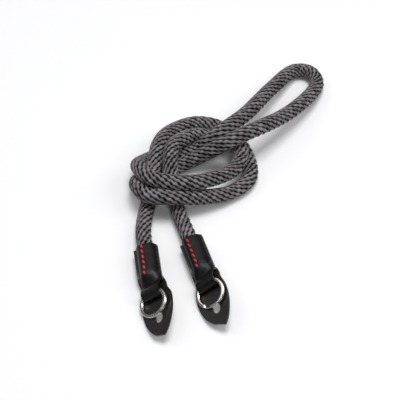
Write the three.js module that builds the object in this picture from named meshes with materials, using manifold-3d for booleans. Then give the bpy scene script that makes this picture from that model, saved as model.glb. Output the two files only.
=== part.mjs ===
// Camera neck strap: a round braided rope, tied double in one loose overhand knot,
// with a sewn leather end on each tip. A leather end is a sleeve over the rope, a leaf-shaped
// guard behind it and a split ring in the sleeve's folded loop.
// Millimetres, +Z up. The strap lies on the plane z = 0.
import * as THREE from 'three';
import { mergeVertices } from 'three/addons/utils/BufferGeometryUtils.js';
import Module from 'manifold-3d';

const wasm = await Module();
wasm.setup();

const radians = THREE.MathUtils.degToRad;

// Driving dimensions
const ropeRadius = 4.7;        // a little under the real 5, squeezed where the rope crosses itself
const ropeSides = 10;
const ropeSteps = 84;
const boreRadius = 5.15;       // inside of the leather round the rope
const domeRadius = 6.9;        // outside of the leather round the rope
const ropeAside = -0.8;        // the rope lies nearer to the left seam
const leatherWall = 1.5;
const layerGap = 0.3;          // between two leathers that touch
const endLength = 67;          // leaf tip to sleeve mouth
const leafRoll = 34;           // degrees, right edge up
const sleeveRoll = -3;
const leafHalfWidth = 11.2;
const leafShoulder = 34;       // where the leaf meets the sleeve's back, from the tip
const holeCentre = new THREE.Vector2(0.5, 12);
const tipHalfWidth = 2.8;      // the leaf ends in a blunt cut
const tipReach = 1.6;          // the cut's right corner reaches past the leaf's length
const holeHalfWidth = 2.8;
const holeHalfLength = 3.9;
const ringInner = 8.4;
const ringOuter = 9.9;
const ringThickness = 1.7;
const ringSegments = 40;
const ringAlong = 22.3;        // ring centre from the leaf tip
const ringLift = 2.4;          // ring centre above the leaf
const ringRoll = 3.5;          // degrees more than the leaf
const ringPitch = 5;           // degrees, the side in the loop is up
const ringClearance = 0.3;
const loopHalfWidth = 6.7;     // folded leather loop that holds the ring
const weldDistance = 1e-4;     // points nearer than this are one point

// Where each end lies: leaf tip and sleeve mouth on the floor plan, headings in degrees
// from -Y towards +X, how far the ring's loop sits beside the leaf's centreline, and how far
// the left corner of the leaf's tip stays back
const ropeHeight = domeRadius;
const leafHeight = leafHalfWidth * Math.sin(radians(leafRoll))
  + (leatherWall + layerGap / 2) * Math.cos(radians(leafRoll));
const ends = [
  {
    name: 'left', tip: [-12.6, -36.3], heading: 5.5, mouth: [-22.1, 28.7], sleeveHeading: 8,
    loopX: -1.1, tipBack: 0.2,
  },
  {
    name: 'right', tip: [24.5, -29.1], heading: 14, mouth: [7.4, 34.2], sleeveHeading: 18,
    loopX: 0.6, tipBack: 1.6,
  },
];

// Rope centreline, from the left sleeve round the knot and the loop to the right sleeve
const ropeRoute = [
  [-19.8, 6.3, 6.9], [-22.3, 24.6, 6.9], [-25, 46, 6],
  [-22, 72, 6], [-19.5, 91, 15], [-15, 116, 15], [-5, 133, 9], [11, 142, 5.5],
  [28.5, 136.2, 5.3], [41.8, 118, 5], [45.8, 92, 5.3], [32, 77.4, 6], [-8, 64, 17], [-22, 66, 16.7],
  [-30, 78, 13], [-28, 88, 7], [3, 104, 6.5], [36, 110, 24.5], [75, 145, 13.8],
  [96.9, 182.6, 5.3], [91.9, 194, 5.3], [81.3, 195.1, 5.3], [64, 173, 10], [43, 139, 17], [24, 119, 19],
  [8, 115, 6.5], [-16, 111, 5.5], [-27, 103, 8], [-29, 89, 18.5], [-18, 74.2, 23.4], [9, 73.6, 21.2],
  [36, 93, 13.5], [39.3, 109.2, 15], [27, 122, 9.5], [9, 125, 11], [-6, 111, 16], [-8, 91, 15],
  [-3.5, 66, 6], [8, 30, 6.9], [13.9, 11.7, 6.9],
];

function leather(color) {
  return new THREE.MeshStandardMaterial({ color, roughness: 0.55, metalness: 0 });
}

function toSolid(geometry) {
  const bare = geometry.clone();
  bare.deleteAttribute('normal');
  bare.deleteAttribute('uv');
  const merged = mergeVertices(bare, weldDistance);
  return new wasm.Manifold(new wasm.Mesh({
    numProp: 3,
    vertProperties: new Float32Array(merged.attributes.position.array),
    triVerts: new Uint32Array(merged.index.array),
  }));
}

function toGeometry(solid) {
  const mesh = solid.getMesh();
  const geometry = new THREE.BufferGeometry();
  geometry.setAttribute('position', new THREE.BufferAttribute(mesh.vertProperties, 3));
  geometry.setIndex(new THREE.BufferAttribute(mesh.triVerts, 1));
  geometry.computeVertexNormals();
  return geometry;
}

// A piece that lies on the floor: heading about Z, then roll about its own length
function layingMatrix(x, y, z, heading, roll) {
  const turn = new THREE.Euler(0, -radians(roll), radians(heading), 'ZYX');
  return new THREE.Matrix4().makeRotationFromEuler(turn).setPosition(x, y, z);
}

// Closed solid through outlines with the same number of points, capped at both ends.
// Each outline is {matrix, points}: points are [across, up] in that matrix's own plane.
function loft(outlines) {
  const count = outlines[0].points.length;
  const positions = [];
  for (const { matrix, points } of outlines) {
    for (const [across, up] of points) {
      positions.push(...new THREE.Vector3(across, 0, up).applyMatrix4(matrix).toArray());
    }
  }
  const index = [];
  for (let row = 0; row + 1 < outlines.length; row += 1) {
    for (let k = 0; k < count; k += 1) {
      const a = row * count + k;
      const b = row * count + ((k + 1) % count);
      index.push(a, a + count, b, b, a + count, b + count);
    }
  }
  const last = (outlines.length - 1) * count;
  const contour = (outline) => outline.points.map(([across, up]) => new THREE.Vector2(across, up));
  for (const [a, b, c] of THREE.ShapeUtils.triangulateShape(contour(outlines[0]), [])) {
    index.push(a, b, c);
  }
  for (const [a, b, c] of THREE.ShapeUtils.triangulateShape(contour(outlines.at(-1)), [])) {
    index.push(last + a, last + c, last + b);
  }
  const geometry = new THREE.BufferGeometry();
  geometry.setAttribute('position', new THREE.Float32BufferAttribute(positions, 3));
  geometry.setIndex(index);
  return geometry;
}

// Across positions shared by the front and the back leather, so that their faces stay parallel
const bulgeStations = [-1, -0.9, -0.74, -0.6, -0.4, -0.2, 0, 0.2, 0.4, 0.6, 0.74, 0.9, 1];

function halfRound(across, radius) {
  return Math.sqrt(Math.max(0, radius * radius - across * across));
}

// Half of the leather tube round the rope: side is 1 above the middle plane, -1 below it
function tubeHalf(side, bulge, leftEdge, rightEdge) {
  const across = [leftEdge, ...bulgeStations.map((part) => part * domeRadius), rightEdge];
  const inner = across.map((x) => [x, side * (layerGap / 2 + bulge * halfRound(x - ropeAside, boreRadius))]);
  const outer = across.map((x) => {
    const flat = layerGap / 2 + leatherWall;
    return [x, side * Math.max(flat, bulge * halfRound(x, domeRadius))];
  });
  const outline = [...outer, ...inner.reverse()];
  return side > 0 ? outline.reverse() : outline;
}

// Stations along an end: distance from the leaf tip, how far the leather has turned from the
// leaf's plane (0) to the sleeve's (1), bulge round the rope, and the edges of both leathers
const sleeveStations = [
  { along: 31, turned: 0, bulge: 0, guardLeft: -9.3, guardRight: 9.0, frontLeft: -7.3, frontRight: 7.3 },
  { along: 36, turned: 0, bulge: 0.12, guardLeft: -9.2, guardRight: 8.8, frontLeft: -7.3, frontRight: 7.3 },
  { along: 39, turned: 0.3, bulge: 0.5, guardLeft: -9.0, guardRight: 8.5, frontLeft: -7.3, frontRight: 7.5 },
  { along: 42, turned: 0.65, bulge: 0.85, guardLeft: -8.8, guardRight: 8.2, frontLeft: -7.3, frontRight: 8.1 },
  { along: 45, turned: 0.9, bulge: 1, guardLeft: -8.7, guardRight: 8.2, frontLeft: -7.3, frontRight: 8.1 },
  { along: 49, turned: 1, bulge: 1, guardLeft: -8.6, guardRight: 8.2, frontLeft: -7.3, frontRight: 8.1 },
  { along: endLength, turned: 1, bulge: 1, guardLeft: -8.6, guardRight: 8.2, frontLeft: -7.3, frontRight: 8.1 },
];

// The sleeve's own place as seen from the leaf, in the leaf's coordinates
function stationMatrix(end, station) {
  const leafPlace = new THREE.Matrix4().makeTranslation(end.loopX, station.along, 0);
  const sleevePlace = end.leafMatrix.clone().invert().multiply(end.sleeveMatrix);
  sleevePlace.multiply(new THREE.Matrix4().makeTranslation(0, station.along - endLength, 0));
  const position = new THREE.Vector3().setFromMatrixPosition(leafPlace);
  position.lerp(new THREE.Vector3().setFromMatrixPosition(sleevePlace), station.turned);
  const turn = new THREE.Quaternion().setFromRotationMatrix(leafPlace);
  turn.slerp(new THREE.Quaternion().setFromRotationMatrix(sleevePlace), station.turned);
  return new THREE.Matrix4().compose(position, turn, new THREE.Vector3(1, 1, 1));
}

function sewnTube(end, side) {
  return loft(sleeveStations.map((station) => {
    const left = side > 0 ? station.frontLeft : station.guardLeft;
    const right = side > 0 ? station.frontRight : station.guardRight;
    return { matrix: stationMatrix(end, station), points: tubeHalf(side, station.bulge, left, right) };
  }));
}

// Leaf with a blunt tip and an oval hole, as a flat plate under the middle plane
function leafPlate(end) {
  const outline = new THREE.Shape();
  outline.moveTo(-tipHalfWidth, end.tipBack);
  outline.lineTo(tipHalfWidth, -tipReach);
  outline.bezierCurveTo(6, 0.9, leafHalfWidth, 10.5, leafHalfWidth, 21.5);
  outline.bezierCurveTo(leafHalfWidth, 26.5, 10.2, 31, 7.6, leafShoulder + 1.5);
  outline.lineTo(end.loopX + sleeveStations[1].guardLeft, leafShoulder + 1.5);
  outline.lineTo(-leafHalfWidth, 21.5);
  outline.bezierCurveTo(-leafHalfWidth, 10.5, -6.8, end.tipBack + 1.8, -tipHalfWidth, end.tipBack);
  const hole = new THREE.Path();
  hole.absellipse(holeCentre.x, holeCentre.y, holeHalfWidth, holeHalfLength, 0, Math.PI * 2, true);
  outline.holes.push(hole);
  const plate = new THREE.ExtrudeGeometry(outline, { depth: leatherWall, bevelEnabled: false, curveSegments: 12 });
  return plate.translate(0, 0, -leatherWall - layerGap / 2);
}

function guardMesh(end) {
  const solid = toSolid(leafPlate(end)).add(toSolid(sewnTube(end, -1)));
  const mesh = new THREE.Mesh(toGeometry(solid), leather(0x2e2b2a));
  mesh.name = `${end.name}_guard`;
  return mesh;
}

// Side profile of the front leather where it folds round the ring: along, up
function foldedLoop() {
  const profile = new THREE.Shape();
  profile.moveTo(26.2, layerGap / 2);
  profile.lineTo(35.5, layerGap / 2);
  profile.lineTo(36.2, 2.2);
  profile.lineTo(34.4, 4.9);
  profile.quadraticCurveTo(32.2, 6.2, 30, 5.9);
  profile.quadraticCurveTo(26.8, 5.4, 25.4, 1.8);
  profile.quadraticCurveTo(25.1, layerGap / 2, 26.2, layerGap / 2);
  const depth = 2 * loopHalfWidth;
  const loop = new THREE.ExtrudeGeometry(profile, { depth, bevelEnabled: false, curveSegments: 6 });
  const along = new THREE.Vector3(0, 1, 0);
  const up = new THREE.Vector3(0, 0, 1);
  const across = new THREE.Vector3(1, 0, 0);
  loop.applyMatrix4(new THREE.Matrix4().makeBasis(along, up, across));
  return loop.translate(-loopHalfWidth, 0, 0);
}

function ringMatrix(end) {
  const tilt = new THREE.Euler(radians(ringPitch), -radians(ringRoll), 0);
  return new THREE.Matrix4().makeRotationFromEuler(tilt).setPosition(end.loopX, ringAlong, ringLift);
}

// Straight way for the ring's wire through the folded loop, a little larger than the wire
function ringChannel(end) {
  const nearWire = Math.sqrt(ringInner ** 2 - loopHalfWidth ** 2);
  const low = nearWire - 2 * ringClearance;
  const high = ringOuter + ringClearance;
  const height = ringThickness + 2 * ringClearance;
  const channel = new THREE.BoxGeometry(4 * loopHalfWidth, high - low, height);
  channel.translate(0, (high + low) / 2, 0);
  return channel.applyMatrix4(ringMatrix(end));
}

function sleeveMesh(end) {
  const loop = toSolid(foldedLoop().translate(end.loopX, 0, 0));
  const solid = toSolid(sewnTube(end, 1)).add(loop).subtract(toSolid(ringChannel(end)));
  const mesh = new THREE.Mesh(toGeometry(solid), leather(0x242322));
  mesh.name = `${end.name}_sleeve`;
  return mesh;
}

function ringMesh(end) {
  const half = ringThickness / 2;
  const profile = [
    [ringInner, -half], [ringOuter, -half], [ringOuter, half], [ringInner, half], [ringInner, -half],
  ].map(([radius, up]) => new THREE.Vector2(radius, up));
  const steel = new THREE.MeshStandardMaterial({ color: 0xd8d4cc, roughness: 0.2, metalness: 1 });
  const geometry = new THREE.LatheGeometry(profile, ringSegments).rotateX(Math.PI / 2);
  const mesh = new THREE.Mesh(geometry, steel);
  mesh.name = `${end.name}_ring`;
  mesh.applyMatrix4(ringMatrix(end));
  return mesh;
}

function leatherEnd(end) {
  end.leafMatrix = layingMatrix(...end.tip, leafHeight, end.heading, leafRoll);
  end.sleeveMatrix = layingMatrix(...end.mouth, ropeHeight, end.sleeveHeading, sleeveRoll);
  const group = new THREE.Group();
  group.add(guardMesh(end), sleeveMesh(end), ringMesh(end));
  group.applyMatrix4(end.leafMatrix);
  return group;
}

function ropeMesh() {
  const route = ropeRoute.map((point) => new THREE.Vector3(...point));
  const extrudePath = new THREE.CatmullRomCurve3(route, false, 'centripetal');
  extrudePath.arcLengthDivisions = 20 * route.length;
  const section = new THREE.Shape();
  section.absarc(0, 0, ropeRadius, 0, Math.PI * 2, false);
  const options = { steps: ropeSteps, curveSegments: ropeSides, extrudePath };
  const cotton = new THREE.MeshStandardMaterial({ color: 0x5b585a, roughness: 0.9, metalness: 0 });
  const mesh = new THREE.Mesh(new THREE.ExtrudeGeometry(section, options), cotton);
  mesh.name = 'rope';
  return mesh;
}

const strap = new THREE.Group();
strap.add(ropeMesh(), ...ends.map(leatherEnd));

export default strap;
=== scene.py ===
# %% [markdown]
# # A camera neck strap in braided rope and leather
# This lesson dresses a plain model of a neck strap: braided cotton rope ten millimetres
# thick, tied double in one loose overhand knot, with a sewn leather end on each tip. The
# plain model gives the place and size of every piece, and each cell below makes one piece
# or one finish as its maker would.

# %% Load the plain model
import math

import bpy
import numpy as np
from mathutils import Matrix, Vector, kdtree


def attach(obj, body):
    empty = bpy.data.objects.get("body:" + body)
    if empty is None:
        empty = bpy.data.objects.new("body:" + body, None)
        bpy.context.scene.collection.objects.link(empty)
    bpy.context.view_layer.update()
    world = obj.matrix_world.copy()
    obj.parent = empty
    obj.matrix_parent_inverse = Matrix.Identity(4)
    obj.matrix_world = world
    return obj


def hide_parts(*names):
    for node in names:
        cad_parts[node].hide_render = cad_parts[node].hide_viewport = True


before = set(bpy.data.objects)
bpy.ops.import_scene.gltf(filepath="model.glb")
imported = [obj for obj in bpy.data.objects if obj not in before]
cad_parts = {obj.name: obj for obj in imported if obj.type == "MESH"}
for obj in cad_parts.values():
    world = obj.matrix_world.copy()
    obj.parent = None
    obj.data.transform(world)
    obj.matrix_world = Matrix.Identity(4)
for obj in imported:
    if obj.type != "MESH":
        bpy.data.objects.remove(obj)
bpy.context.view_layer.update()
MM = 0.001
print("pieces of the plain model:", sorted(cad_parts))


# %% [markdown]
# ## Helpers
# Every piece ends as a mesh in the scene, and the rope, the rings and the stitches are all
# tubes. Those steps are written once here, with a soft step that many shapes share.

# %% Helpers
def new_piece(name, points, faces):
    """A mesh object in the scene, made from its points and faces."""
    mesh = bpy.data.meshes.new(name)
    mesh.from_pydata(points, [], faces)
    piece = bpy.data.objects.new(name, mesh)
    bpy.context.collection.objects.link(piece)
    return piece


def shade_smooth(mesh):
    """Lets light run over the edges between a mesh's faces."""
    mesh.polygons.foreach_set("use_smooth", [True] * len(mesh.polygons))


def tube_faces(rows, count):
    """Faces of a tube of so many rows, with so many points round each row."""
    return [
        (r * count + c, r * count + (c + 1) % count,
         (r + 1) * count + (c + 1) % count, (r + 1) * count + c)
        for r in range(rows - 1) for c in range(count)
    ]


def ease(value):
    """Goes from 0 to 1 with a soft start and a soft end, as the value does."""
    value = min(1.0, max(0.0, value))
    return value * value * (3 - 2 * value)


# %% [markdown]
# ## Camera
# The strap was photographed from above its leather ends, looking down at about fifty
# degrees through a long lens, so lines hardly converge. The camera is placed first, because
# every other piece is judged through it.

# %% Camera
LOOK_AT = Vector((0.012, 0.076, 0.0))
CAMERA_DISTANCE = 0.8
CAMERA_ELEVATION = math.radians(50)
CAMERA_LENS = 107
SENSOR_WIDTH = 36

camera_data = bpy.data.cameras.new("studio_camera")
camera_data.lens = CAMERA_LENS
camera_data.sensor_width = SENSOR_WIDTH
camera = bpy.data.objects.new("studio_camera", camera_data)
bpy.context.collection.objects.link(camera)
towards_camera = Vector((0, -math.cos(CAMERA_ELEVATION), math.sin(CAMERA_ELEVATION)))
camera.location = LOOK_AT + CAMERA_DISTANCE * towards_camera
camera.rotation_euler = (math.pi / 2 - CAMERA_ELEVATION, 0, 0)
bpy.context.scene.camera = camera
print("camera at", [round(c, 3) for c in camera.location])


# %% [markdown]
# ## The rope's route
# A rope is a fixed length of something soft, so its route comes before its surface. The
# doubled rope goes once round itself: both tails come up from the leather ends, bend over
# the top as two arcs, run under the loop's legs, wrap across the front as two turns, and
# leave as one long loop to the upper right. The heights say which stretch lies on which.

# %% The rope's route, in metres
SAMPLES_PER_SPAN = 40
ROPE_ROUTE = [
    (-0.0198, 0.0063, 0.0069), (-0.0223, 0.0246, 0.0069), (-0.025, 0.046, 0.006),
    (-0.022, 0.072, 0.006), (-0.0195, 0.091, 0.015), (-0.015, 0.116, 0.015), (-0.005, 0.133, 0.009),
    (0.011, 0.142, 0.0055), (0.0285, 0.1362, 0.0053), (0.0418, 0.118, 0.005), (0.0458, 0.092, 0.0053),
    (0.032, 0.0774, 0.006), (-0.008, 0.064, 0.017), (-0.022, 0.066, 0.0167), (-0.030, 0.078, 0.013),
    (-0.028, 0.088, 0.007), (0.003, 0.104, 0.0065), (0.036, 0.110, 0.0245), (0.075, 0.145, 0.0138),
    (0.0969, 0.1826, 0.0053), (0.0919, 0.194, 0.0053), (0.0813, 0.1951, 0.0053), (0.064, 0.173, 0.010),
    (0.043, 0.139, 0.017), (0.024, 0.119, 0.019), (0.008, 0.115, 0.0065), (-0.016, 0.111, 0.0055),
    (-0.027, 0.103, 0.008), (-0.029, 0.089, 0.0185), (-0.018, 0.0742, 0.0234), (0.009, 0.0736, 0.0212),
    (0.036, 0.093, 0.0135), (0.0393, 0.1092, 0.015), (0.027, 0.122, 0.0095), (0.009, 0.125, 0.011),
    (-0.006, 0.111, 0.016), (-0.008, 0.091, 0.015), (-0.0035, 0.066, 0.006), (0.008, 0.030, 0.0069),
    (0.0139, 0.0117, 0.0069),
]


def smooth_line(route, samples):
    """Centripetal Catmull-Rom line through the points, which hardly swings wide of them."""
    points = [Vector(p) for p in route]
    points = [2 * points[0] - points[1], *points, 2 * points[-1] - points[-2]]
    line = []
    for before, start, end, after in zip(points, points[1:], points[2:], points[3:]):
        reach = [math.sqrt((b - a).length) for a, b in ((before, start), (start, end), (end, after))]
        leave = (start - before) / reach[0] - (end - before) / (reach[0] + reach[1])
        leave = (leave + (end - start) / reach[1]) * reach[1]
        arrive = (end - start) / reach[1] - (after - start) / (reach[1] + reach[2])
        arrive = (arrive + (after - end) / reach[2]) * reach[1]
        for k in range(samples):
            t = k / samples
            bend = 2 * start - 2 * end + leave + arrive
            swing = -3 * start + 3 * end - 2 * leave - arrive
            line.append(start + leave * t + swing * t ** 2 + bend * t ** 3)
    return np.array([*line, points[-2]], float)


def even_steps(line, step):
    """The same line with points an even step apart, and its length."""
    gone = np.concatenate([[0], np.cumsum(np.linalg.norm(np.diff(line, axis=0), axis=1))])
    places = np.linspace(0, gone[-1], int(round(gone[-1] / step)) + 1)
    return np.stack([np.interp(places, gone, line[:, k]) for k in range(3)], 1), gone[-1]


rope_line, rope_length = even_steps(smooth_line(ROPE_ROUTE, SAMPLES_PER_SPAN), 1 * MM)
print("rope length", round(rope_length, 4), "m")


# %% [markdown]
# ## The braid
# A solid braided rope shows nine ribs that climb round it as a right-handed screw. Each rib
# is a row of short plump stitches, and where a stitch dives in, a pit is left beside it.
# A bump map would leave the outline smooth, so the braid is real relief here: the tube's
# columns follow the ribs, six to a rib, and its rows follow the stitches, five to a stitch.
# The grooves and pits also carry painted shade: the cotton's colour is darkened there.

# %% Braided rope surface
RIBS = 9
COLUMNS_PER_RIB = 6
STITCH_LENGTH = 3.4 * MM
ROWS_PER_STITCH = 5
RIB_LEAD = 46 * MM
RIB_STAGGER = 2
CREST_RADIUS = 5.3 * MM
GROOVE_DEPTH = 0.72 * MM
GROOVE_SHARPNESS = 1.7
# Painted shade: how far the cotton's colour is darkened in the grooves and in the pits
GROOVE_PAINTED_SHADE = 0.75
PIT_DEPTH = 0.55 * MM
PIT_SHARPNESS = 1.5
PIT_PAINTED_SHADE = 0.6
STITCH_END_DEPTH = 0.12 * MM
STITCH_END_SHARPNESS = 1.2
RIB_SWAY = 0.12
TOUCH_GAP = 0.05 * MM
SLEEVE_GRIP = 0.93
GRIP_LENGTH = 22 * MM
GRIP_FADE = 4 * MM
STITCH_TONE = 0.22
TONE_SEED = 9
# Within this many millimetres along the rope, it doesn't press against itself
OWN_STRETCH = 22
# Soft rope is squeezed under a tight turn and swells where it lies slack. The places are
# in millimetres along the rope.
FULLNESS_PLACES = (0, 212, 226, 246, 262, 275, 405, 425, 445, 560, 585, 610, 625, 640,
                   735, 750, 760, 770, 784, 796, 835, 860, 965)
FULLNESS = (1, 1, 1, 0.96, 1.02, 1, 1, 1.04, 1, 1, 1.05, 1.03, 1.05, 1,
            1, 1.03, 1, 0.97, 0.95, 1, 1.03, 1, 1)


def carried_frames(line):
    """Two directions across the line at each point, carried along it without twist."""
    tangents = np.gradient(line, axis=0)
    tangents /= np.linalg.norm(tangents, axis=1)[:, None]
    side = np.cross(tangents[0], (0, 0, 1))
    sides = []
    for tangent in tangents:
        side = side - tangent * (side @ tangent)
        side /= np.linalg.norm(side)
        sides.append(side)
    sides = np.array(sides)
    return sides, np.cross(tangents, sides)


def braid_relief(row, column):
    """Depth under the crest, the painted shade of the spot from 0 to 1, and the rib's sway."""
    across = (column % COLUMNS_PER_RIB) / COLUMNS_PER_RIB
    rib = column // COLUMNS_PER_RIB
    along = ((row + RIB_STAGGER * rib) % ROWS_PER_STITCH) / ROWS_PER_STITCH
    groove = (0.5 + 0.5 * np.cos(2 * np.pi * across)) ** GROOVE_SHARPNESS
    end = (0.5 + 0.5 * np.cos(2 * np.pi * along)) ** STITCH_END_SHARPNESS
    pit = end * groove ** PIT_SHARPNESS
    # Painted shade in the grooves and pits, on top of their real depth
    hollow = np.clip(GROOVE_PAINTED_SHADE * groove + PIT_PAINTED_SHADE * pit, 0, 1)
    depth = GROOVE_DEPTH * groove + PIT_DEPTH * pit + STITCH_END_DEPTH * end * (1 - groove)
    sway = RIB_SWAY * np.sin(2 * np.pi * along)
    return depth, hollow, sway


def stitch_tones(row, column):
    """A steady random tone for each stitch, because no two take the dye alike."""
    rib = column // COLUMNS_PER_RIB
    stitch = (row + RIB_STAGGER * rib) // ROWS_PER_STITCH
    draws = np.random.default_rng(TONE_SEED)
    tones = draws.uniform(-STITCH_TONE, STITCH_TONE, (stitch.max() + 1, RIBS))
    return tones[stitch, rib].ravel()


def press_together(points, centres, own_place):
    """Where two stretches of rope meet, each is pressed flat on the plane between them."""
    tree = kdtree.KDTree(len(rope_line))
    for place, centre in enumerate(rope_line):
        tree.insert(centre, place)
    tree.balance()
    pressed = points.copy()
    for k, point in enumerate(points):
        own = np.linalg.norm(point - centres[k])
        for centre, place, _ in tree.find_range(point, own):
            if abs(place - own_place[k]) < OWN_STRETCH:
                continue
            between = np.array(centre) - centres[k]
            gap = np.linalg.norm(between)
            over = (pressed[k] - centres[k]) @ (between / gap) - (gap / 2 - TOUCH_GAP)
            if over > 0:
                pressed[k] -= between / gap * over
    return pressed


def braided_rope():
    """The whole rope in one mesh, with its ribs, its pressed places and its flat cut ends."""
    line, _ = even_steps(smooth_line(ROPE_ROUTE, SAMPLES_PER_SPAN), STITCH_LENGTH / ROWS_PER_STITCH)
    sides, ups = carried_frames(line)
    columns = RIBS * COLUMNS_PER_RIB
    row, column = np.meshgrid(np.arange(len(line)), np.arange(columns), indexing="ij")
    depth, hollow, sway = braid_relief(row, column)
    step = rope_length / (len(line) - 1)
    turn = 2 * np.pi * ((column + sway * COLUMNS_PER_RIB) / columns + row * step / RIB_LEAD)
    from_end = np.minimum(row, len(line) - 1 - row) * step
    grip = SLEEVE_GRIP + (1 - SLEEVE_GRIP) * np.clip((from_end - GRIP_LENGTH) / GRIP_FADE, 0, 1)
    fullness = np.interp(row * step / MM, FULLNESS_PLACES, FULLNESS)
    radius = (CREST_RADIUS - depth) * grip * fullness
    points = line[:, None] + radius[..., None] * (
        np.cos(turn)[..., None] * sides[:, None] + np.sin(turn)[..., None] * ups[:, None]
    )
    centres = np.repeat(line, columns, axis=0)
    own_place = (row * step / MM).ravel()
    points = press_together(points.reshape(-1, 3), centres, own_place)
    points[:, 2] = np.maximum(points[:, 2], 0.0)
    last = (len(line) - 1) * columns
    faces = tube_faces(len(line), columns)
    faces.append(tuple(reversed(range(columns))))
    faces.append(tuple(range(last, last + columns)))
    rope = new_piece("braided_rope", points, faces)
    shade_smooth(rope.data)
    # The hollow attribute carries that painted shade; the tone is each stitch's random dye
    for label, values in (("hollow", hollow.ravel()), ("tone", stitch_tones(row, column))):
        rope.data.attributes.new(label, "FLOAT", "POINT").data.foreach_set("value", values)
    rope.data.update()
    return rope


rope = braided_rope()
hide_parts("rope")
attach(rope, "root")
print("rope faces", len(rope.data.polygons))


# %% [markdown]
# ## Where the leather ends lie
# Each end is sewn flat on a bench and then laid down. The sleeve round the rope lies face
# up, and the leaf behind it leans on its left edge, so the leather turns between them. Two
# places are enough to describe that, one at the leaf's tip and one in the sleeve's mouth.
# Sizes along and across an end are in millimetres, as a leather worker would mark them out.

# %% Places of the leather ends
END_LENGTH = 67
WALL = 1.5
LAYER_GAP = 0.3
LEAF_ROLL = 34
SLEEVE_ROLL = -3
LEAF_HALF_WIDTH = 11.2
ROPE_HEIGHT = 6.9
TURN_ALONG = (36, 39, 42, 45, 49)
TURN_SHARE = (0, 0.3, 0.65, 0.9, 1)
ENDS = {
    "left": {"tip": (-12.6, -36.3), "heading": 5.5, "mouth": (-22.1, 28.7), "sleeve_heading": 8,
             "loop_x": -1.1, "red_seam": -3.6, "black_seam": 4.7, "cut_at": 67, "ring_turned": 107,
             "tip_back": 0.2},
    "right": {"tip": (24.5, -29.1), "heading": 14, "mouth": (7.4, 34.2), "sleeve_heading": 18,
              "loop_x": 0.6, "red_seam": -4.1, "black_seam": 3.9, "cut_at": 68.2, "ring_turned": -103,
              "tip_back": 1.6},
}


def laid_down(spot, height, heading, roll):
    """A piece's place on the floor: a heading about Z, then a roll about its own length."""
    turn = Matrix.Rotation(math.radians(heading), 4, "Z")
    roll_over = Matrix.Rotation(-math.radians(roll), 4, "Y")
    return Matrix.Translation((*spot, height)) @ turn @ roll_over


def place_along(end, along):
    """The leather's place at a distance from the leaf's tip, between leaf and sleeve."""
    turned = float(np.interp(along, TURN_ALONG, TURN_SHARE))
    leaf = end["leaf"] @ Matrix.Translation((end["loop_x"], along, 0))
    sleeve = end["sleeve"] @ Matrix.Translation((0, along - END_LENGTH, 0))
    turn = leaf.to_quaternion().slerp(sleeve.to_quaternion(), turned)
    moved = Matrix.Translation(leaf.translation.lerp(sleeve.translation, turned))
    return moved @ turn.to_matrix().to_4x4()


leaf_height = LEAF_HALF_WIDTH * math.sin(math.radians(LEAF_ROLL))
leaf_height += (WALL + LAYER_GAP / 2) * math.cos(math.radians(LEAF_ROLL))
for end in ENDS.values():
    end["leaf"] = laid_down(end["tip"], leaf_height, end["heading"], LEAF_ROLL)
    end["sleeve"] = laid_down(end["mouth"], ROPE_HEIGHT, end["sleeve_heading"], SLEEVE_ROLL)
print("leaf axis height", round(leaf_height, 2), "mm")


# %% [markdown]
# ## From a sheet to leather
# Leather is one sheet of even thickness with softly rounded cut edges. So each piece starts
# as a grid of points on the leather's middle surface, and the Solidify and Bevel modifiers
# give it its thickness and its worn edge, exactly as thick hide behaves when it is bent.

# %% Sheet helpers
EDGE_ROUNDING = 0.38
EDGE_SEGMENTS = 3
SHARP_ANGLE = 50
CUT_EDGE_SLOT = 1


def sheet(name, rows, left_out=()):
    """A grid mesh through rows of world points in millimetres, without the faces left out."""
    count = len(rows[0])
    faces = [
        (r * count + c, r * count + c + 1, (r + 1) * count + c + 1, (r + 1) * count + c)
        for r in range(len(rows) - 1) for c in range(count - 1) if (r, c) not in left_out
    ]
    return new_piece(name, [Vector(p) * MM for row in rows for p in row], faces)


def apply_modifiers(piece):
    """Keeps what the modifiers make as the piece's own mesh."""
    shaped = piece.evaluated_get(bpy.context.evaluated_depsgraph_get())
    mesh = bpy.data.meshes.new_from_object(shaped)
    piece.modifiers.clear()
    piece.data = mesh
    shade_smooth(mesh)


def thicken(piece):
    """Gives a middle surface the leather's thickness and its rounded cut edges."""
    hide = piece.modifiers.new("hide", "SOLIDIFY")
    hide.thickness = WALL * MM
    hide.offset = 0
    hide.use_even_offset = True
    hide.material_offset_rim = CUT_EDGE_SLOT
    edge = piece.modifiers.new("edge", "BEVEL")
    edge.width = EDGE_ROUNDING * MM
    edge.segments = EDGE_SEGMENTS
    edge.limit_method = "ANGLE"
    edge.angle_limit = math.radians(SHARP_ANGLE)
    edge.material = CUT_EDGE_SLOT
    apply_modifiers(piece)


def stand_for(piece, node):
    """Hides the plain node, which this piece stands for, and lets the piece move with it."""
    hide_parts(node)
    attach(piece, "root")
    print(piece.name, "stands for", node, "with", len(piece.data.polygons), "faces")


# %% [markdown]
# ## The guards
# The leaf-shaped guard keeps the split ring off the camera's body, and the same hide runs on
# under the rope as the sleeve's back. A flat grid follows the leaf's outline, and towards
# the mouth its middle sinks into a trough round the rope. The oval hole is made by leaving
# faces out of the grid and sliding the points round the gap onto the oval.

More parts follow.
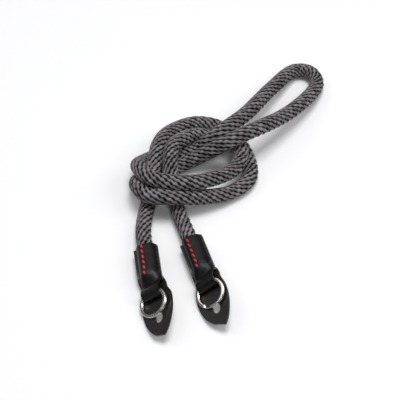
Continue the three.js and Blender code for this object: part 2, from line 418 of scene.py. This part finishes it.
# %% Guards
# Bezier curves from the tip up the right side, as half width and distance from the tip
LEAF_OUTLINE = (
    ((2.8, 0), (6.4, 2.0), (11.2, 10.5), (11.2, 21.5)),
    ((11.2, 21.5), (11.2, 26.5), (10.2, 31), (7.6, 35.5)),
)
OUTLINE_SAMPLES = 30
TIP_REACH = 1.6
TIP_ZONE = 9
SHOULDER_START = 27
GUARD_ALONG = (31, 36, 39, 42, 45, 49, 67)
GUARD_LEFT = (-9.3, -9.2, -9.0, -8.8, -8.7, -8.6, -8.6)
GUARD_RIGHT = (9.0, 8.8, 8.2, 7.6, 7.3, 7.2, 7.2)
TROUGH_DEPTH = (0, 0.12, 0.5, 0.85, 1, 1, 1)
TROUGH_HALF_WIDTH = 6.3
TROUGH_CENTRE = -0.4
TROUGH_BLEND = 1.4
SECTION_ROUNDNESS = 2.6
GUARD_COLUMNS = 44
# The share of a row's points that lies flat on either side of the trough
RIM_SHARE = 0.12
TIP_ROWS = (0, 0.3, 0.7, 1.1, 1.6)
LEAF_ROWS = np.linspace(2.1, 36, 68)
BACK_ROWS = np.linspace(36.7, END_LENGTH, 42)
HOLE_CENTRE = (0.5, 12)
HOLE_HALF_SIZE = (2.8, 3.9)
LEAF_CUP = 0.35


def bezier(corner_points, share):
    """The spot at a share of the way along a cubic curve."""
    a, b, c, d = (np.array(p, float) for p in corner_points)
    rest = 1 - share
    return a * rest ** 3 + 3 * b * share * rest ** 2 + 3 * c * share ** 2 * rest + d * share ** 3


def leaf_half_width():
    """Distance from the tip and half width of the leaf, as two rows of numbers."""
    shares = np.linspace(0, 1, OUTLINE_SAMPLES)
    line = [bezier(curve, share) for curve in LEAF_OUTLINE for share in shares]
    return np.array(line)[:, 1], np.array(line)[:, 0]


def arch(reach):
    """Height of a flattened arch: 1 over its middle, 0 at a reach of 1."""
    return (1 - reach ** SECTION_ROUNDNESS) ** (1 / SECTION_ROUNDNESS)


def round_the_arch(shares):
    """Spots from -1 to 1 across the arch, closer together where it is steep."""
    swing = np.sin((shares - 0.5) * np.pi)
    return np.sign(swing) * np.abs(swing) ** (2 / SECTION_ROUNDNESS)


def guard_row(end, along):
    """Across positions and lifts of one row of the guard, in its place's coordinates."""
    half = float(np.interp(along, *leaf_half_width()))
    shoulder = ease((along - SHOULDER_START) / (GUARD_ALONG[1] - SHOULDER_START))
    left = -half - end["loop_x"]
    left += (np.interp(along, GUARD_ALONG, GUARD_LEFT) - left) * shoulder
    right = half - end["loop_x"]
    right += (np.interp(along, GUARD_ALONG, GUARD_RIGHT) - right) * shoulder
    depth = float(np.interp(along, GUARD_ALONG, TROUGH_DEPTH))
    shares = np.linspace(0, 1, GUARD_COLUMNS + 1)
    even = left + (right - left) * shares
    over_trough = np.clip((shares - RIM_SHARE) / (1 - 2 * RIM_SHARE), 0, 1)
    sunk = TROUGH_CENTRE + TROUGH_HALF_WIDTH * round_the_arch(over_trough)
    left_rim = left + (sunk[0] - left) * shares / RIM_SHARE
    right_rim = right - (right - sunk[-1]) * (1 - shares) / RIM_SHARE
    sunk = np.where(shares < RIM_SHARE, left_rim, sunk)
    sunk = np.where(shares > 1 - RIM_SHARE, right_rim, sunk)
    across = even + (sunk - even) * ease(depth * TROUGH_BLEND)
    reach = np.clip(np.abs(across - TROUGH_CENTRE) / TROUGH_HALF_WIDTH, 0, 1)
    seat = (LAYER_GAP + WALL) / 2
    lift = -seat - depth * (ROPE_HEIGHT - WALL / 2 - seat) * arch(reach)
    cup = LEAF_CUP * (across / LEAF_HALF_WIDTH) ** 2 * (1 - shoulder)
    return across, lift + cup


def hole_reach(across, along):
    """How far out from the hole's centre a spot lies, where the hole's rim is at 1."""
    return math.hypot((across - HOLE_CENTRE[0]) / HOLE_HALF_SIZE[0],
                      (along - HOLE_CENTRE[1]) / HOLE_HALF_SIZE[1])


def leaf_guard(side):
    """The back hide of one end, with its tip cut at a slant and its oval hole."""
    end = ENDS[side]
    cut = np.linspace(0, 1, GUARD_COLUMNS + 1)
    slant = end["tip_back"] * (1 - cut) - TIP_REACH * cut
    spots = []
    for along in (*TIP_ROWS, *LEAF_ROWS, *BACK_ROWS):
        across, lift = guard_row(end, along)
        slanted = along + max(0.0, 1 - along / TIP_ZONE) * slant
        spots.append([list(spot) for spot in zip(across, slanted, lift)])
    left_out = {
        (r, c) for r in range(len(spots) - 1) for c in range(GUARD_COLUMNS)
        if hole_reach((spots[r][c][0] + spots[r + 1][c + 1][0]) / 2 + end["loop_x"],
                      (spots[r][c][1] + spots[r + 1][c + 1][1]) / 2) < 1
    }
    corners = {(r + i, c + j) for r, c in left_out for i in (0, 1) for j in (0, 1)}
    for r, c in corners:
        around = {(r - 1, c - 1), (r - 1, c), (r, c - 1), (r, c)}
        if around <= left_out:
            continue
        x, along, _ = spots[r][c]
        reach = hole_reach(x + end["loop_x"], along)
        spots[r][c][0] = HOLE_CENTRE[0] + (x + end["loop_x"] - HOLE_CENTRE[0]) / reach - end["loop_x"]
        spots[r][c][1] = HOLE_CENTRE[1] + (along - HOLE_CENTRE[1]) / reach
    rows = [[place_along(end, along) @ Vector((x, 0, z)) for x, along, z in row] for row in spots]
    guard = sheet(f"{side}_leaf_guard", rows, left_out)
    thicken(guard)
    stand_for(guard, f"{side}_guard")
    return guard


guards = [leaf_guard(side) for side in ENDS]


# %% [markdown]
# ## The sleeves
# The front of each end is one strap of hide. It arches over the rope from the mouth, dips
# into a crease below the rope's end, rises over the split ring and folds back under it. The
# strap's path is drawn in side view, as distance from the tip, height of its middle and
# height of its edges, and every row across it is a flattened arch between those heights.

# %% Sleeves
# From the mouth to the ring and back: distance from the tip, middle height, edge height
FRONT_PATH = (
    (67, 6.15, 0.15), (58, 6.15, 0.15), (50, 6.15, 0.15), (46, 6.15, 0.15), (44, 6.0, 0.15),
    (42, 5.5, 0.25), (40, 4.7, 0.5), (38, 3.7, 1.1), (36.5, 3.1, 1.9), (35, 3.15, 2.7),
    (33.5, 4.0, 3.7), (32, 4.9, 4.7), (30.5, 5.2, 5.05), (29, 5.15, 5.05), (27.5, 4.6, 4.6),
    (26.5, 3.6, 3.6), (26, 2.6, 2.6), (25.9, 1.7, 1.7), (26.2, 1.1, 1.1), (27, 0.9, 0.9),
    (30, 0.9, 0.9), (35, 0.9, 0.9),
)
FRONT_SAMPLES = 8
FRONT_ROW_STEP = 0.5
FRONT_COLUMNS = 40
FRONT_HALF_WIDTH = 6.45
SLEEVE_START = 44
TONGUE_HALF_WIDTH = 6.7
TONGUE_END = 38
# An arch this much higher than its edges has its points spread along its curve
ARCH_BLEND = 3
# The mouth is cut a little short or long over the sleeve's last few millimetres
CUT_START = 60
SEAM_VALLEY = 0.35
SEAM_WIDTH = 0.9
SEAM_FADE = 3
# Where the hide lies over the ring it leans as the ring does
RING_ROLL = 3.5
ROLL_FROM_HEIGHT = 2
ROLL_RISE = 1.5
ROLL_FADE = 4


def front_half_width(along):
    """Half width of the front hide, which narrows a little from the tongue to the sleeve."""
    return np.interp(along, (TONGUE_END, SLEEVE_START), (TONGUE_HALF_WIDTH, FRONT_HALF_WIDTH))


def front_lift(end, along, top, edge, across):
    """Height of the front hide's middle surface above the seam plane."""
    lift = edge + (top - edge) * arch(np.clip(np.abs(across) / front_half_width(along), 0, 1))
    sewn = ease((along - SLEEVE_START) / SEAM_FADE)
    for seam in (end["red_seam"], end["black_seam"]):
        lift = lift - sewn * SEAM_VALLEY * np.exp(-((across - seam) / SEAM_WIDTH) ** 2)
    on_ring = ease((top - ROLL_FROM_HEIGHT) / ROLL_RISE) * ease((TONGUE_END - along) / ROLL_FADE)
    return lift + across * math.tan(math.radians(RING_ROLL)) * on_ring


def front_sleeve(side):
    """The front hide of one end, from the mouth to the end of the folded tongue."""
    end = ENDS[side]
    path, _ = even_steps(smooth_line(FRONT_PATH, FRONT_SAMPLES), FRONT_ROW_STEP)
    even = np.linspace(-1, 1, FRONT_COLUMNS + 1)
    arched = round_the_arch(np.linspace(0, 1, FRONT_COLUMNS + 1))
    rows = []
    for along, top, edge in path:
        spread = even + (arched - even) * ease((top - edge) / ARCH_BLEND)
        across = front_half_width(along) * spread
        near_mouth = ease((along - CUT_START) / (END_LENGTH - CUT_START))
        along += (end["cut_at"] - END_LENGTH) * near_mouth
        lift = front_lift(end, along, top, edge, across)
        place = place_along(end, along)
        rows.append([place @ Vector((x, 0, z)) for x, z in zip(across, lift)])
    front = sheet(f"{side}_front_sleeve", rows)
    thicken(front)
    stand_for(front, f"{side}_sleeve")
    return front


sleeves = [front_sleeve(side) for side in ENDS]


# %% [markdown]
# ## The split rings
# A split ring is flat steel wire wound twice round, with a small step where one turn
# climbs beside the other. A rounded wire section is swept along that winding, so the step and
# the line between the two turns are really there and catch the light.

# %% Split rings
RING_RADIUS = 9.15
WIRE_WIDE = 1.8
WIRE_HIGH = 0.92
WIRE_ROUNDING = 0.22
TURN_OFFSET = 0.47
STEP_LENGTH = 34
FULL_TURN = 360
ANGLE_STEP = 2
CORNER_POINTS = 4
RING_ALONG = 22.3
RING_LIFT = 2.4
RING_PITCH = 5


def wire_section():
    """Rounded oblong of the wire: outward and up, counterclockwise."""
    points = []
    for quarter in range(4):
        out = (1, -1, -1, 1)[quarter] * (WIRE_WIDE / 2 - WIRE_ROUNDING)
        up = (1, 1, -1, -1)[quarter] * (WIRE_HIGH / 2 - WIRE_ROUNDING)
        for k in range(CORNER_POINTS):
            angle = math.radians(90 * (quarter + k / (CORNER_POINTS - 1)))
            points.append((out + WIRE_ROUNDING * math.cos(angle),
                           up + WIRE_ROUNDING * math.sin(angle)))
    return points


def split_ring(side):
    """Two turns of wire, less the length of the step, laid on the leaf."""
    end = ENDS[side]
    tilt = Matrix.Rotation(math.radians(RING_PITCH), 4, "X")
    tilt = tilt @ Matrix.Rotation(-math.radians(RING_ROLL), 4, "Y")
    place = end["leaf"] @ Matrix.Translation((end["loop_x"], RING_ALONG, RING_LIFT)) @ tilt
    section = wire_section()
    count = len(section)
    points = []
    angles = range(0, 2 * FULL_TURN - STEP_LENGTH + 1, ANGLE_STEP)
    for angle in angles:
        climbed = ease((angle - FULL_TURN + STEP_LENGTH) / STEP_LENGTH)
        height = TURN_OFFSET * (2 * climbed - 1)
        turn = math.radians(angle + end["ring_turned"])
        for out, up in section:
            reach = RING_RADIUS + out
            local = Vector((reach * math.cos(turn), reach * math.sin(turn), up + height))
            points.append(place @ local * MM)
    # The section turns the other way about its path than the rope's, so its faces do too
    faces = [(a, d, c, b) for a, b, c, d in tube_faces(len(angles), count)]
    faces.append(tuple(range(count)))
    faces.append(tuple(reversed(range((len(angles) - 1) * count, len(angles) * count))))
    ring = new_piece(f"{side}_split_ring", points, faces)
    smooth = [len(face.vertices) == 4 for face in ring.data.polygons]
    ring.data.polygons.foreach_set("use_smooth", smooth)
    ring.data.update()
    stand_for(ring, f"{side}_ring")
    return ring


rings = [split_ring(side) for side in ENDS]


# %% [markdown]
# ## The seams
# Two lines of stitches close each sleeve. The left line is sewn in red thread and shows,
# and the right one is black on black. Each stitch is a short plump length of thread that
# dives into the hide at both ends, so it is swept along a shallow arc on the leather.

# %% Stitches
RED_SEAM = {"line": "red_seam", "first": 65.4, "last": 44.4, "count": 6, "fill": 0.68,
            "radius": 0.72, "lean": 0.5}
BLACK_SEAM = {"line": "black_seam", "first": 65.4, "last": 43.6, "count": 9, "fill": 0.8,
              "radius": 0.5, "lean": 0.2}
STITCH_ROWS = 11
STITCH_PROUD = 0.3
STITCH_DIVE = 0.75
STITCH_TAPER = 0.45
THREAD_SIDES = 8
THREAD_FLATNESS = 0.8
SLOPE_STEP = 0.1
# The part of the front's path that the seams cross, from the ring's side to the mouth
SEWN_PATH = FRONT_PATH[:8][::-1]


def on_sleeve(end, along, across, proud):
    """World point on the front hide's outside, standing proud of it."""
    path_along, tops, edges = zip(*SEWN_PATH)
    top = float(np.interp(along, path_along, tops))
    edge = float(np.interp(along, path_along, edges))
    nearby = np.array([across - SLOPE_STEP, across, across + SLOPE_STEP])
    lift = front_lift(end, along, top, edge, nearby)
    normal = Vector((-(lift[2] - lift[0]) / (2 * SLOPE_STEP), 0, 1)).normalized()
    spot = Vector((across, 0, float(lift[1]))) + normal * (WALL / 2 + proud)
    return place_along(end, along) @ spot


def thread_row(name, end, seam):
    """One line of stitches as a single mesh of short swept threads."""
    pitch = (seam["first"] - seam["last"]) / (seam["count"] - 1)
    points, faces = [], []
    for k in range(seam["count"]):
        middle = seam["first"] - pitch * k
        steps = np.linspace(-0.5, 0.5, STITCH_ROWS) * pitch * seam["fill"]
        line = []
        for step in steps:
            share = step / steps[-1]
            across = end[seam["line"]] - seam["lean"] * share
            proud = STITCH_PROUD - STITCH_DIVE * abs(share) ** 3
            line.append(on_sleeve(end, middle + step, across, proud))
        first = len(points)
        for r, spot in enumerate(line):
            ahead = (line[min(r + 1, STITCH_ROWS - 1)] - line[max(r - 1, 0)]).normalized()
            side_way = ahead.cross(Vector((0, 0, 1))).normalized()
            up_way = side_way.cross(ahead)
            taper = 1 - STITCH_TAPER * abs(2 * r / (STITCH_ROWS - 1) - 1) ** 4
            for c in range(THREAD_SIDES):
                angle = 2 * math.pi * c / THREAD_SIDES
                swell = side_way * math.cos(angle) + THREAD_FLATNESS * up_way * math.sin(angle)
                points.append((spot + seam["radius"] * taper * swell) * MM)
        for face in tube_faces(STITCH_ROWS, THREAD_SIDES):
            faces.append([first + corner for corner in face])
    row = new_piece(name, points, faces)
    shade_smooth(row.data)
    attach(row, "root")
    return row


red_rows = [thread_row(f"{side}_red_seam", end, RED_SEAM) for side, end in ENDS.items()]
black_rows = [thread_row(f"{side}_black_seam", end, BLACK_SEAM) for side, end in ENDS.items()]
print("stitches:", RED_SEAM["count"], "red and", BLACK_SEAM["count"], "black on each end")


# %% [markdown]
# ## Effects that several finishes share
# Hide and thread both have fine structure that a single colour lacks. Leather grain is a
# net of small pebbles with a slow change of tone, and thread has fine fibres. Each effect is
# a node group with named inputs, built once and placed in every material that needs it.

# %% Node groups
# A Mix node's colour sockets go by number, because its other sockets share their names
MIX_A = 6
MIX_B = 7
MIX_RESULT = 2
TONES_PER_METRE = 160.0
SCUFFS_PER_METRE = 620.0
PATCHES_PER_METRE = 420.0
DULL_BLACK = (0.01, 0.01, 0.01, 1)
DARK_GREY = (0.03, 0.03, 0.03, 1)
CHARCOAL = (0.15, 0.15, 0.15, 1)


def new_group(name, inputs, outputs):
    """An empty shader node group with its named sockets, and its two end nodes."""
    group = bpy.data.node_groups.new(name, "ShaderNodeTree")
    for label, kind, value in inputs:
        socket = group.interface.new_socket(label, in_out="INPUT", socket_type=kind)
        socket.default_value = value
    for label, kind in outputs:
        group.interface.new_socket(label, in_out="OUTPUT", socket_type=kind)
    return group, group.nodes.new("NodeGroupInput"), group.nodes.new("NodeGroupOutput")


def joined(tree, kind, links=None, **settings):
    """A node with its settings, and sockets either linked or given a value."""
    node = tree.nodes.new(kind)
    for label, value in settings.items():
        setattr(node, label, value)
    for label, value in (links or {}).items():
        if isinstance(value, bpy.types.NodeSocket):
            tree.links.new(value, node.inputs[label])
        else:
            node.inputs[label].default_value = value
    return node


def leather_grain_group():
    """Pebbled hide: a colour between two tones, the height of its grain and its gloss."""
    group, given, out = new_group(
        "leather_grain",
        [("Dark", "NodeSocketColor", DULL_BLACK), ("Light", "NodeSocketColor", DARK_GREY),
         ("Pebbles per metre", "NodeSocketFloat", 1200)],
        [("Color", "NodeSocketColor"), ("Height", "NodeSocketFloat"), ("Roughness", "NodeSocketFloat")],
    )
    spot = joined(group, "ShaderNodeTexCoord").outputs["Object"]
    density = given.outputs["Pebbles per metre"]
    pebbles = joined(group, "ShaderNodeTexVoronoi", {"Vector": spot, "Scale": density},
                     feature="SMOOTH_F1")
    tone = joined(group, "ShaderNodeTexNoise",
                  {"Vector": spot, "Scale": TONES_PER_METRE, "Detail": 5.0})
    scuffs = joined(group, "ShaderNodeTexNoise",
                    {"Vector": spot, "Scale": SCUFFS_PER_METRE, "Detail": 6.0})
    blend = joined(group, "ShaderNodeMapRange",
                   {"Value": tone.outputs["Fac"], "From Min": 0.35, "From Max": 0.68})
    mixed = joined(group, "ShaderNodeMix",
                   {"Factor": blend.outputs["Result"], MIX_A: given.outputs["Dark"],
                    MIX_B: given.outputs["Light"]}, data_type="RGBA")
    height = joined(group, "ShaderNodeMath",
                    {0: pebbles.outputs["Distance"], 1: scuffs.outputs["Fac"]}, operation="ADD")
    gloss = joined(group, "ShaderNodeMapRange",
                   {"Value": scuffs.outputs["Fac"], "From Min": 0.3, "From Max": 0.7,
                    "To Min": 0.30, "To Max": 0.48})
    group.links.new(mixed.outputs[MIX_RESULT], out.inputs["Color"])
    group.links.new(height.outputs[0], out.inputs["Height"])
    group.links.new(gloss.outputs["Result"], out.inputs["Roughness"])
    return group


def fibre_group():
    """Cotton and thread: a colour that fibres break up, with painted shade in the hollows, and a
    height.
    """
    group, given, out = new_group(
        "spun_fibre",
        [("Crest", "NodeSocketColor", CHARCOAL), ("Hollow", "NodeSocketColor", DULL_BLACK),
         ("Depth", "NodeSocketFloat", 0.0), ("Tone", "NodeSocketFloat", 0.0),
         ("Fibres per metre", "NodeSocketFloat", 3000)],
        [("Color", "NodeSocketColor"), ("Height", "NodeSocketFloat")],
    )
    spot = joined(group, "ShaderNodeTexCoord").outputs["Object"]
    fibres = joined(group, "ShaderNodeTexNoise",
                    {"Vector": spot, "Scale": given.outputs["Fibres per metre"], "Detail": 4.0,
                     "Roughness": 0.65})
    patches = joined(group, "ShaderNodeTexNoise",
                     {"Vector": spot, "Scale": PATCHES_PER_METRE, "Detail": 3.0})
    speckle = joined(group, "ShaderNodeMath",
                     {0: fibres.outputs["Fac"], 1: patches.outputs["Fac"]}, operation="ADD")
    shade = joined(group, "ShaderNodeMapRange",
                   {"Value": speckle.outputs[0], "From Min": 0.75, "From Max": 1.3, "To Min": 0.45,
                    "To Max": 0.0})
    toned = joined(group, "ShaderNodeMath",
                   {0: given.outputs["Tone"], 1: shade.outputs["Result"]}, operation="ADD")
    darkness = joined(group, "ShaderNodeMath",
                      {0: given.outputs["Depth"], 1: toned.outputs[0]}, operation="ADD",
                      use_clamp=True)
    # Mixes towards the hollow colour by the painted shade, the random dye tone and the fibre speckle
    mixed = joined(group, "ShaderNodeMix",
                   {"Factor": darkness.outputs[0], MIX_A: given.outputs["Crest"],
                    MIX_B: given.outputs["Hollow"]}, data_type="RGBA")
    group.links.new(mixed.outputs[MIX_RESULT], out.inputs["Color"])
    group.links.new(fibres.outputs["Fac"], out.inputs["Height"])
    return group


leather_grain = leather_grain_group()
spun_fibre = fibre_group()
print("node groups:", [group.name for group in (leather_grain, spun_fibre)])


# %% [markdown]
# ## Finishes
# The rope is charcoal cotton: dull, a little furry at grazing light, and painted almost black
# between its stitches as shade. Both leathers are black, the guard a little browner, and their
# cut edges are brown, made lighter as a painted highlight along them. The thread is red or
# black, and the rings are bright nickel with fine scratches.

# %% Materials
SCRATCHES_PER_METRE = 700.0


def new_material(name):
    """A material with one Principled shader, and its tree."""
    material = bpy.data.materials.new(name)
    material.use_nodes = True
    return material, material.node_tree, material.node_tree.nodes["Principled BSDF"]


def placed(tree, group, **values):
    """A shared effect placed in a material with its own values."""
    node = tree.nodes.new("ShaderNodeGroup")
    node.node_tree = group
    for label, value in values.items():
        node.inputs[label.replace("_", " ")].default_value = value
    return node


def add_relief(tree, shader, height, strength, distance):
    """A bump on the shader from a height, for detail finer than the mesh."""
    bump = joined(tree, "ShaderNodeBump",
                  {"Height": height, "Strength": strength, "Distance": distance})
    tree.links.new(bump.outputs["Normal"], shader.inputs["Normal"])


def spun_material(name, crest, hollow, fibres, roughness, specular, sheen):
    """Cotton or thread, which takes its painted shade and tone from the mesh where it has them."""
    material, tree, shader = new_material(name)
    fibre = placed(tree, spun_fibre, Crest=crest, Hollow=hollow, Fibres_per_metre=fibres)
    for attribute, label in (("hollow", "Depth"), ("tone", "Tone")):
        stored = joined(tree, "ShaderNodeAttribute", attribute_name=attribute)
        tree.links.new(stored.outputs["Fac"], fibre.inputs[label])
    tree.links.new(fibre.outputs["Color"], shader.inputs["Base Color"])
    add_relief(tree, shader, fibre.outputs["Height"], strength=0.5, distance=0.2 * MM)
    shader.inputs["Roughness"].default_value = roughness
    shader.inputs["Specular IOR Level"].default_value = specular
    shader.inputs["Sheen Weight"].default_value = sheen
    shader.inputs["Sheen Roughness"].default_value = 0.5
    return material


def leather_material(name, dark, light, pebbles, specular):
    """Grained hide between two tones, with so many pebbles to the metre."""
    material, tree, shader = new_material(name)
    grain = placed(tree, leather_grain, Dark=dark, Light=light, Pebbles_per_metre=pebbles)
    tree.links.new(grain.outputs["Color"], shader.inputs["Base Color"])
    tree.links.new(grain.outputs["Roughness"], shader.inputs["Roughness"])
    add_relief(tree, shader, grain.outputs["Height"], strength=0.3, distance=0.25 * MM)
    shader.inputs["Specular IOR Level"].default_value = specular
    return material


def nickel_material():
    """Polished metal whose gloss changes a little from scratch to scratch."""
    material, tree, shader = new_material("bright_nickel")
    spot = joined(tree, "ShaderNodeTexCoord").outputs["Object"]
    scratches = joined(tree, "ShaderNodeTexNoise",
                       {"Vector": spot, "Scale": SCRATCHES_PER_METRE, "Detail": 6.0})
    polish = joined(tree, "ShaderNodeMapRange",
                    {"Value": scratches.outputs["Fac"], "From Min": 0.35, "From Max": 0.7,
                     "To Min": 0.17, "To Max": 0.21})
    tree.links.new(polish.outputs["Result"], shader.inputs["Roughness"])
    add_relief(tree, shader, scratches.outputs["Fac"], strength=0.01, distance=0.02 * MM)
    shader.inputs["Base Color"].default_value = (0.96, 0.92, 0.86, 1)
    shader.inputs["Metallic"].default_value = 1.0
    return material


# The cotton's hollow colour is the painted shade between its stitches
cotton = spun_material(
    "charcoal_cotton", crest=(0.270, 0.248, 0.262, 1), hollow=(0.003, 0.003, 0.003, 1),
    fibres=3200, roughness=0.95, specular=0.12, sheen=0.06)
red_thread = spun_material(
    "red_thread", crest=(0.66, 0.022, 0.03, 1), hollow=(0.20, 0.006, 0.008, 1),
    fibres=5200, roughness=0.55, specular=0.4, sheen=0.04)
black_thread = spun_material(
    "black_thread", crest=(0.010, 0.010, 0.011, 1), hollow=(0.003, 0.003, 0.003, 1),
    fibres=5200, roughness=0.5, specular=0.4, sheen=0.04)
front_hide = leather_material(
    "black_front_leather", dark=(0.003, 0.0027, 0.0027, 1), light=(0.007, 0.0064, 0.0062, 1),
    pebbles=1500, specular=0.3)
guard_hide = leather_material(
    "black_guard_leather", dark=(0.008, 0.0068, 0.0063, 1), light=(0.015, 0.0128, 0.0118, 1),
    pebbles=1300, specular=0.4)
# Brown cut edges, lightened as a painted highlight along the rims
edge_brown_and_highlight = leather_material(
    "brown_edge_painted_highlight", dark=(0.035, 0.021, 0.016, 1), light=(0.085, 0.055, 0.042, 1),
    pebbles=2200, specular=0.42)
nickel = nickel_material()

finishes = (
    ([rope], [cotton]), (guards, [guard_hide, edge_brown_and_highlight]), (sleeves, [front_hide, edge_brown_and_highlight]),
    (rings, [nickel]), (red_rows, [red_thread]), (black_rows, [black_thread]),
)
for pieces, materials in finishes:
    for piece in pieces:
        for material in materials:
            piece.data.materials.append(material)
print("finishes:", [m.name for m in bpy.data.materials if m.users])


# %% [markdown]
# ## Floor and light
# The strap was photographed on white paper that is lit almost to pure white, with a broad
# soft light overhead. The floor is a large pale sheet, and the lights are big panels, since
# the size of a lamp decides how soft its shadows are.

# %% Floor
FLOOR_HALF_SIZE = 3.0
FLOOR_HEIGHT = -0.05 * MM
floor_corners = [
    (x * FLOOR_HALF_SIZE, y * FLOOR_HALF_SIZE, FLOOR_HEIGHT)
    for x, y in ((-1, -1), (1, -1), (1, 1), (-1, 1))
]
floor = new_piece("paper_floor", floor_corners, [(0, 1, 2, 3)])
paper, _, paper_shader = new_material("white_paper")
paper_shader.inputs["Base Color"].default_value = (0.93, 0.93, 0.94, 1)
paper_shader.inputs["Roughness"].default_value = 0.8
paper_shader.inputs["Specular IOR Level"].default_value = 0.2
floor.data.materials.append(paper)


# %% Lights
def panel(name, spot, size, power):
    """A square soft light that faces the middle of the strap."""
    data = bpy.data.lights.new(name, "AREA")
    data.size = size
    data.energy = power
    light = bpy.data.objects.new(name, data)
    bpy.context.collection.objects.link(light)
    light.location = spot
    light.rotation_euler = (LOOK_AT - Vector(spot)).to_track_quat("-Z", "Y").to_euler()


panel("top_panel", spot=(0.12, 0.26, 1.6), size=0.8, power=17.0)
panel("front_panel", spot=(0.06, -0.62, 0.83), size=0.35, power=1.6)
panel("right_panel", spot=(0.95, 0.05, 0.95), size=0.8, power=4.4)
panel("left_panel", spot=(-0.8, 0.35, 1.0), size=0.8, power=3.0)
world = bpy.data.worlds.new("white_room")
world.use_nodes = True
room = world.node_tree.nodes["Background"]
room.inputs["Color"].default_value = (0.96, 0.98, 1.0, 1)
room.inputs["Strength"].default_value = 0.12
bpy.context.scene.world = world
bpy.context.scene.view_settings.view_transform = "Standard"
